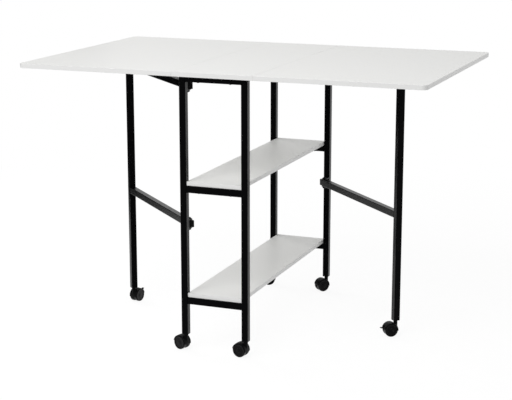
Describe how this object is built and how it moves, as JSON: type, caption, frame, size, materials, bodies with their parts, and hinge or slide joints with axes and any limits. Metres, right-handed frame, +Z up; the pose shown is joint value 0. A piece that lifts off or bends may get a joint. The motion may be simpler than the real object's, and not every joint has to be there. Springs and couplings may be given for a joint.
{
  "type": "folding sewing cutting table",
  "caption": "Long white drop-leaf work table on a narrow black tube frame with shelves, swinging gate legs and twin-wheel casters.",
  "frame": {"origin": "on the floor under the middle of the open table top", "axes": "+X along the open table, across both leaves; +Y from the front frame to the rear frame; +Z up"},
  "size_m": [1.5, 0.94, 1.003],
  "materials": {
    "white_board": "white melamine-faced particle board with white edge band",
    "black_coated_steel": "black powder coat, semi-gloss",
    "zinc_steel": "bright zinc plate",
    "black_hardware": "black oxide steel",
    "nylon": "natural nylon",
    "black_plastic": "moulded black plastic",
    "wheel_nylon": "moulded black nylon, satin"
  },
  "bodies": {
    "frame": {"board_screws": "black_hardware", "centre_hinge_plates": "zinc_steel", "centre_hinge_screws": "zinc_steel", "centre_panel": "white_board", "front_left_post": "black_coated_steel", "front_lower_rail": "black_coated_steel", "front_middle_rail": "black_coated_steel", "front_right_post": "black_coated_steel", "front_top_rail": "black_coated_steel", "hinge_pins": "zinc_steel", "lower_shelf": "white_board", "pivot_bolts": "black_hardware", "pivot_brackets": "black_coated_steel", "pivot_washers": "nylon", "post_caster_sockets": "black_plastic", "post_caster_stems": "black_hardware", "rear_left_post": "black_coated_steel", "rear_lower_rail": "black_coated_steel", "rear_middle_rail": "black_coated_steel", "rear_right_post": "black_coated_steel", "rear_top_rail": "black_coated_steel", "upper_shelf": "white_board"},
    "left_leaf": {"left_leaf": "white_board", "left_leaf_hinge_plates": "zinc_steel", "left_leaf_hinge_screws": "zinc_steel"},
    "left_gate": {"left_gate_leg": "black_coated_steel", "left_gate_top_rail": "black_coated_steel", "left_gate_middle_rail": "black_coated_steel", "left_gate_caps": "black_plastic", "left_gate_caster_socket": "black_plastic", "left_gate_caster_stem": "black_hardware"},
    "right_leaf": {"right_leaf": "white_board", "right_leaf_hinge_plates": "zinc_steel", "right_leaf_hinge_screws": "zinc_steel"},
    "right_gate": {"right_gate_leg": "black_coated_steel", "right_gate_top_rail": "black_coated_steel", "right_gate_middle_rail": "black_coated_steel", "right_gate_caps": "black_plastic", "right_gate_caster_socket": "black_plastic", "right_gate_caster_stem": "black_hardware"},
    "front_left_caster": {"front_left_caster_hood": "black_plastic"},
    "front_left_wheels": {"front_left_caster_wheels": "wheel_nylon", "front_left_caster_axle": "zinc_steel"},
    "front_right_caster": {"front_right_caster_hood": "black_plastic"},
    "front_right_wheels": {"front_right_caster_wheels": "wheel_nylon", "front_right_caster_axle": "zinc_steel"},
    "rear_left_caster": {"rear_left_caster_hood": "black_plastic"},
    "rear_left_wheels": {"rear_left_caster_wheels": "wheel_nylon", "rear_left_caster_axle": "zinc_steel"},
    "rear_right_caster": {"rear_right_caster_hood": "black_plastic"},
    "rear_right_wheels": {"rear_right_caster_wheels": "wheel_nylon", "rear_right_caster_axle": "zinc_steel"},
    "left_gate_caster": {"left_gate_caster_hood": "black_plastic"},
    "left_gate_wheels": {"left_gate_caster_wheels": "wheel_nylon", "left_gate_caster_axle": "zinc_steel"},
    "right_gate_caster": {"right_gate_caster_hood": "black_plastic"},
    "right_gate_wheels": {"right_gate_caster_wheels": "wheel_nylon", "right_gate_caster_axle": "zinc_steel"},
    "left_brake_lever": {"left_brake_lever": "black_plastic"},
    "right_brake_lever": {"right_brake_lever": "black_plastic"}
  },
  "joints": [
    {"name": "right_leaf_hinge", "type": "hinge", "parent": "frame", "child": "right_leaf", "pos_m": [0.1503, 0, 0.9835], "axis": [0, -1, 0], "range_deg": [0, 1.5]},
    {"name": "left_leaf_hinge", "type": "hinge", "parent": "frame", "child": "left_leaf", "pos_m": [-0.1503, 0, 0.9835], "axis": [0, 1, 0], "range_deg": [0, 1.5]},
    {"name": "right_gate_swing", "type": "hinge", "parent": "frame", "child": "right_gate", "pos_m": [0.115, 0.407, 0.471], "axis": [0, 0, 1], "range_deg": [-45, 45]},
    {"name": "left_gate_swing", "type": "hinge", "parent": "frame", "child": "left_gate", "pos_m": [-0.115, -0.407, 0.471], "axis": [0, 0, 1], "range_deg": [-46, 44]},
    {"name": "front_left_caster_swivel", "type": "hinge", "parent": "frame", "child": "front_left_caster", "pos_m": [-0.115, -0.444, 0.0575], "axis": [0, 0, 1], "continuous": true},
    {"name": "front_left_wheel_roll", "type": "hinge", "parent": "front_left_caster", "child": "front_left_wheels", "pos_m": [-0.13379, -0.43716, 0.025], "axis": [-0.342, -0.9397, 0], "continuous": true},
    {"name": "front_right_caster_swivel", "type": "hinge", "parent": "frame", "child": "front_right_caster", "pos_m": [0.115, -0.444, 0.0575], "axis": [0, 0, 1], "continuous": true},
    {"name": "front_right_wheel_roll", "type": "hinge", "parent": "front_right_caster", "child": "front_right_wheels", "pos_m": [0.0953, -0.44053, 0.025], "axis": [-0.1736, -0.9848, 0], "continuous": true},
    {"name": "rear_left_caster_swivel", "type": "hinge", "parent": "frame", "child": "rear_left_caster", "pos_m": [-0.115, 0.444, 0.0575], "axis": [0, 0, 1], "continuous": true},
    {"name": "rear_left_wheel_roll", "type": "hinge", "parent": "rear_left_caster", "child": "rear_left_wheels", "pos_m": [-0.13379, 0.43716, 0.025], "axis": [0.342, -0.9397, 0], "continuous": true},
    {"name": "rear_right_caster_swivel", "type": "hinge", "parent": "frame", "child": "rear_right_caster", "pos_m": [0.115, 0.444, 0.0575], "axis": [0, 0, 1], "continuous": true},
    {"name": "rear_right_wheel_roll", "type": "hinge", "parent": "rear_right_caster", "child": "rear_right_wheels", "pos_m": [0.10162, 0.42914, 0.025], "axis": [0.7431, -0.6691, 0], "continuous": true},
    {"name": "left_gate_caster_swivel", "type": "hinge", "parent": "left_gate", "child": "left_gate_caster", "pos_m": [-0.5466, 0.00979, 0.0575], "axis": [0, 0, 1], "continuous": true},
    {"name": "left_gate_wheel_roll", "type": "hinge", "parent": "left_gate_caster", "child": "left_gate_wheels", "pos_m": [-0.54245, 0.02936, 0.025], "axis": [-0.9781, 0.2079, 0], "continuous": true},
    {"name": "right_gate_caster_swivel", "type": "hinge", "parent": "right_gate", "child": "right_gate_caster", "pos_m": [0.53926, -0.01726, 0.0575], "axis": [0, 0, 1], "continuous": true},
    {"name": "right_gate_wheel_roll", "type": "hinge", "parent": "right_gate_caster", "child": "right_gate_wheels", "pos_m": [0.52308, -0.02902, 0.025], "axis": [0.5878, -0.809, 0], "continuous": true},
    {"name": "left_brake_press", "type": "hinge", "parent": "left_gate_caster", "child": "left_brake_lever", "pos_m": [-0.54064, 0.03785, 0.04133], "axis": [-0.9781, 0.2079, 0], "range_deg": [0, 16]},
    {"name": "right_brake_press", "type": "hinge", "parent": "right_gate_caster", "child": "right_brake_lever", "pos_m": [0.51606, -0.03413, 0.04133], "axis": [0.5878, -0.809, 0], "range_deg": [-16, 0]}
  ]
}
